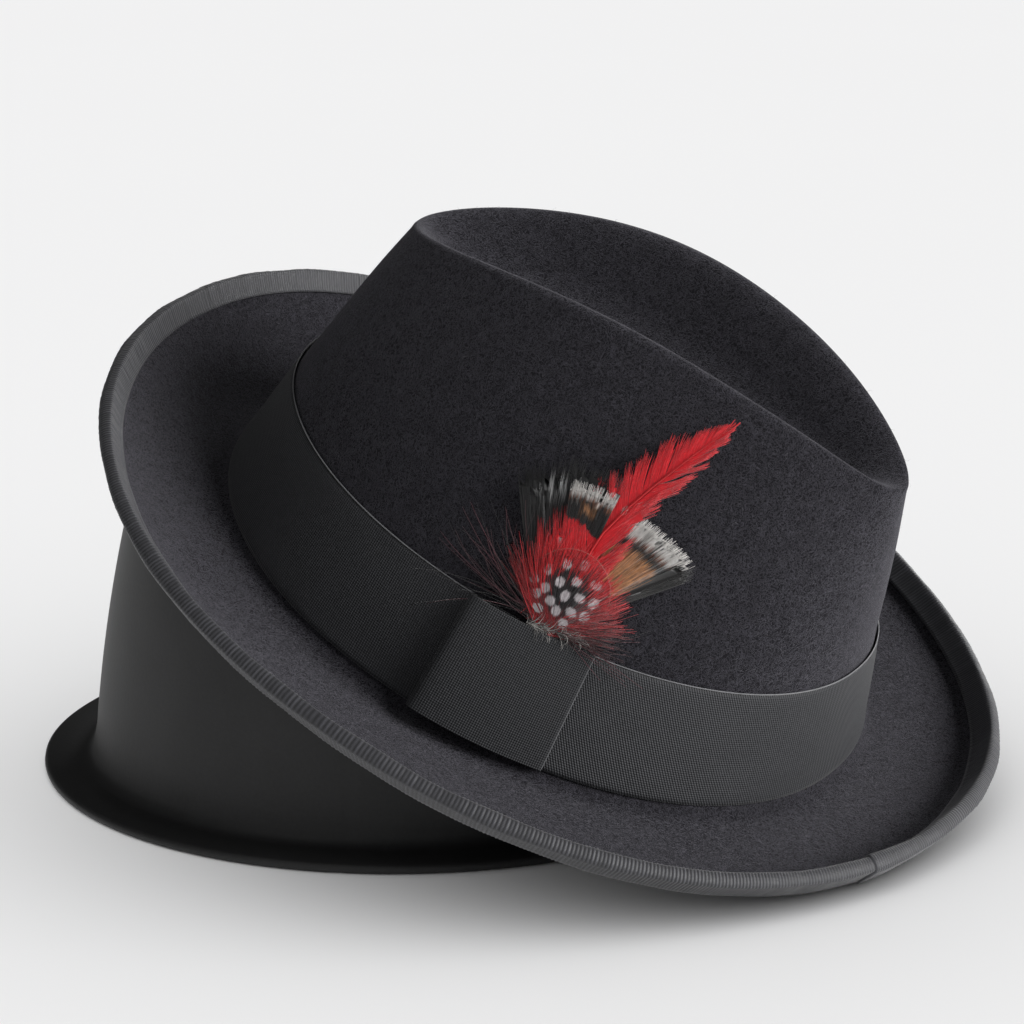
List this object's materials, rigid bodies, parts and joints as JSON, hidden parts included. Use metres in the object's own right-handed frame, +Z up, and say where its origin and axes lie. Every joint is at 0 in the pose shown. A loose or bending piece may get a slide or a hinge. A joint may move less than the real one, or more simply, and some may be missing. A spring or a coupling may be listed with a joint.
{
  "type": "felt hat on a display stand",
  "caption": "Felt hat with a teardrop crown dent, bound curled brim, ribbon band, flat bow and a spray of feathers, resting tilted over a plain round black display stand.",
  "frame": {"origin": "centre of the display stand's round base, on the surface that it stands on", "axes": "+Z up; +X to the right and +Y away from the viewer in the picture's view, which looks along +Y. The hat's back points about 28 degrees from +X towards -Y and dips 26 degrees."},
  "size_m": [0.2943, 0.2735, 0.1741],
  "materials": {
    "felt": "dense short-pile wool felt, soft and matt, with curly fibres",
    "band_ribbon": "finely ribbed ribbon, low sheen, paler edge thread",
    "bow_ribbon": "finely ribbed ribbon, low sheen, folded flat",
    "binding_ribbon": "ribbed ribbon folded over the edge, low sheen",
    "red_vane": "dyed feather, parted barbs, soft sheen",
    "spotted_vane": "feather with round white spots, soft sheen",
    "banded_vane": "copper feather with a white bar and dark tips",
    "black_vane": "glossy black feather, parted barbs",
    "hackle": "stiff dark wisps, black to wine red",
    "quill_fluff": "pale down round the quills, matt",
    "stand": "matt black moulding with a very fine grain"
  },
  "bodies": {
    "root": {"hat_body": "felt", "hat_band": "band_ribbon", "band_bow": "bow_ribbon", "brim_binding": "binding_ribbon", "red_feather": "red_vane", "spotted_feather": "spotted_vane", "banded_feather": "banded_vane", "black_feather": "black_vane", "hackle_tuft": "hackle", "feather_quills": "quill_fluff", "display_stand": "stand"}
  },
  "joints": []
}
